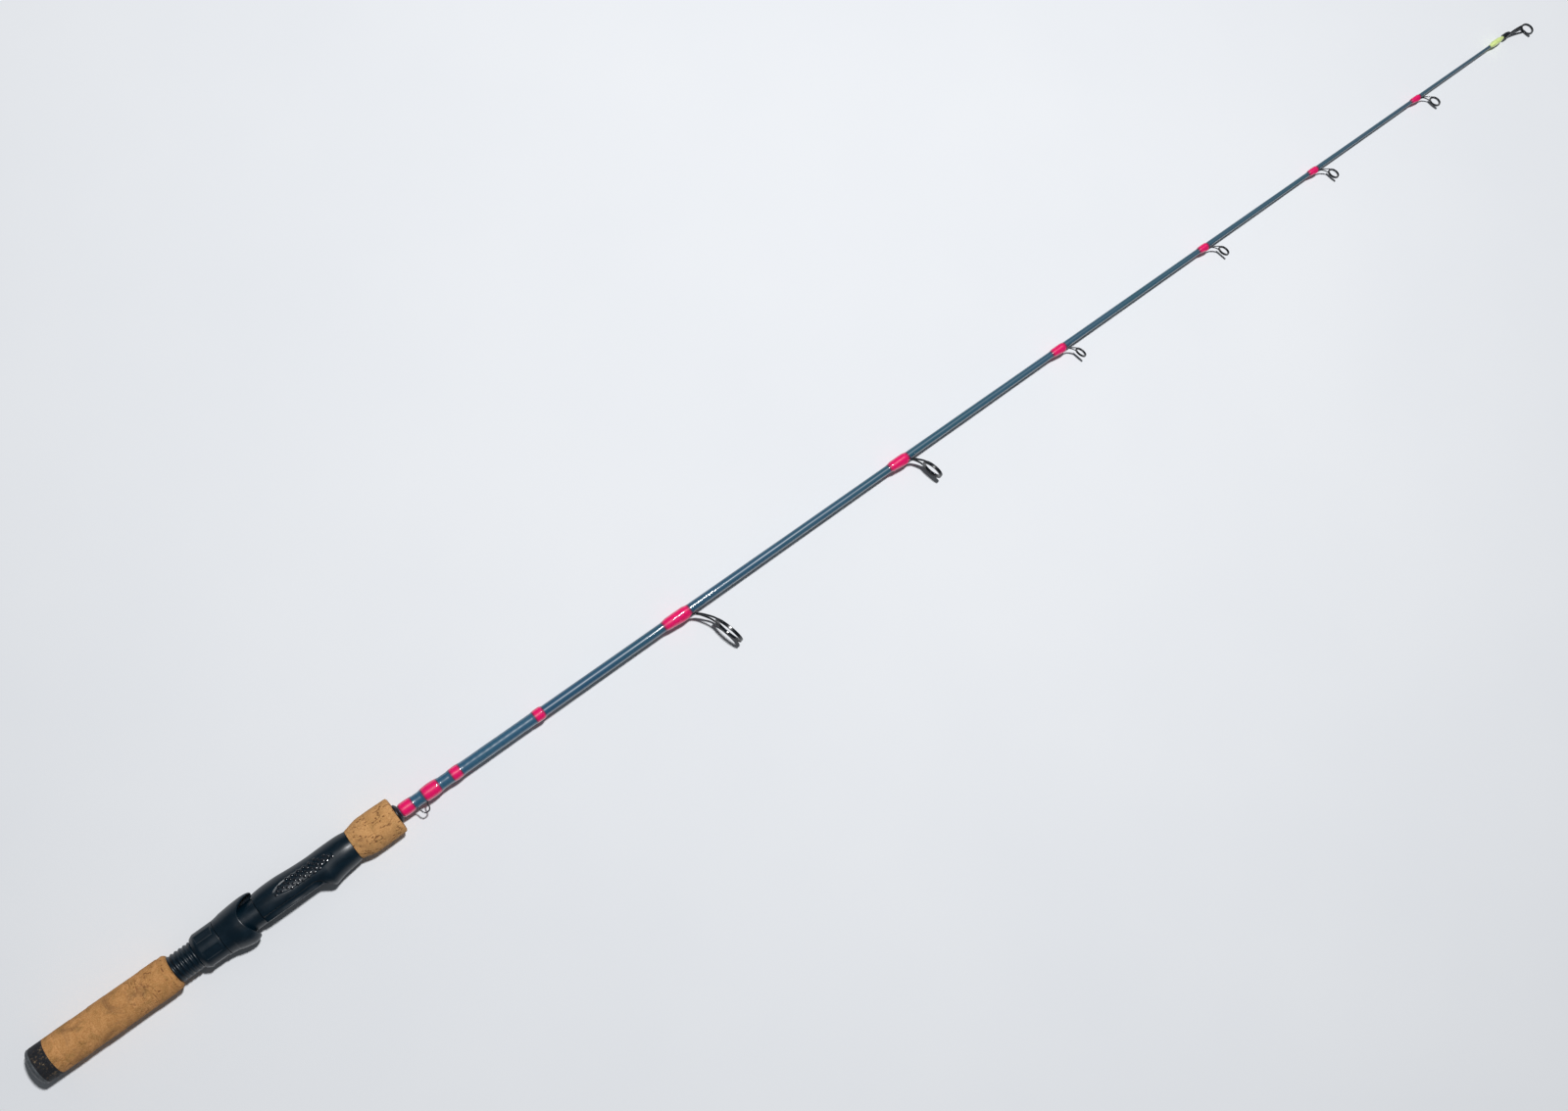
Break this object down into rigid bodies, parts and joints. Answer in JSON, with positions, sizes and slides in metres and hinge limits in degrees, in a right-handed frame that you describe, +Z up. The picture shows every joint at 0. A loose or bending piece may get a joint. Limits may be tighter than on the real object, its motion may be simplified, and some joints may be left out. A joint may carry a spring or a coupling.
{
  "type": "spinning rod",
  "caption": "Short one-piece spinning rod: cork grips, screw-locking reel seat with sliding hood, tapered tubular blank, single-foot ring guides and a tip-top.",
  "frame": {"origin": "on the surface that the rod lies on, under the middle of its bounding box", "axes": "+X runs from the butt to the tip, +Z is up from the surface, and the reel foot and the guides are on the -Y side"},
  "size_m": [1.3684, 0.0562, 0.0309],
  "materials": {
    "cork": "bare pressed cork, matt",
    "composite_cork": "dark speckled rubberised cork, matt",
    "rubber": "smooth, soft sheen",
    "seat_plastic": "moulded, satin",
    "arbor_foam": "rigid foam, matt",
    "blank_glass": "glass fibre tube, clear gloss varnish",
    "pink_thread": "wound thread under clear glossy epoxy",
    "clear_coat": "clear glossy epoxy over the blank",
    "tip_thread": "wound thread under clear glossy epoxy",
    "black_metal": "black plated wire, glossy",
    "ring_ceramic": "dark polished ceramic"
  },
  "bodies": {
    "rod": {"blank": "blank_glass", "butt_cap": "rubber", "butt_ring": "composite_cork", "rear_cork_1": "cork", "rear_cork_2": "cork", "rear_cork_3": "cork", "rear_cork_4": "cork", "rear_cork_5": "cork", "rear_cork_6": "cork", "rear_cork_7": "cork", "rear_cork_8": "cork", "reel_seat_body": "seat_plastic", "seat_arbor_rear": "arbor_foam", "seat_arbor_front": "arbor_foam", "fore_cork_1": "cork", "fore_cork_2": "cork", "fore_cork_3": "cork", "winding_check": "rubber", "trim_wrap_1": "pink_thread", "keeper_gap_coat": "clear_coat", "trim_wrap_2": "pink_thread", "trim_gap_coat": "clear_coat", "trim_wrap_3": "pink_thread", "long_clear_coat": "clear_coat", "trim_wrap_4": "pink_thread", "hook_keeper": "black_metal", "guide_1_frame": "black_metal", "guide_1_ring": "ring_ceramic", "guide_1_wrap": "pink_thread", "guide_2_frame": "black_metal", "guide_2_ring": "ring_ceramic", "guide_2_wrap": "pink_thread", "guide_3_frame": "black_metal", "guide_3_ring": "ring_ceramic", "guide_3_wrap": "pink_thread", "guide_4_frame": "black_metal", "guide_4_ring": "ring_ceramic", "guide_4_wrap": "pink_thread", "guide_5_frame": "black_metal", "guide_5_ring": "ring_ceramic", "guide_5_wrap": "pink_thread", "guide_6_frame": "black_metal", "guide_6_ring": "ring_ceramic", "guide_6_wrap": "pink_thread", "tip_wrap": "tip_thread", "tip_top_frame": "black_metal", "tip_top_ring": "ring_ceramic"},
    "hood": {"sliding_hood": "seat_plastic"},
    "nut": {"lock_nut": "seat_plastic"}
  },
  "joints": [
    {"name": "hood_slide", "type": "slide", "parent": "rod", "child": "hood", "axis": [1, 0, -0.0081], "range_m": [-0.017, 0.014]},
    {"name": "nut_turn", "type": "hinge", "parent": "hood", "child": "nut", "pos_m": [-0.55321, 0.01265, 0.01563], "axis": [1, 0, -0.0081], "range_deg": [-1945, 1600]}
  ],
  "couplings": [
    {"joint": "hood_slide", "follows": "nut_turn", "m_per_rad": 0.00049975}
  ]
}
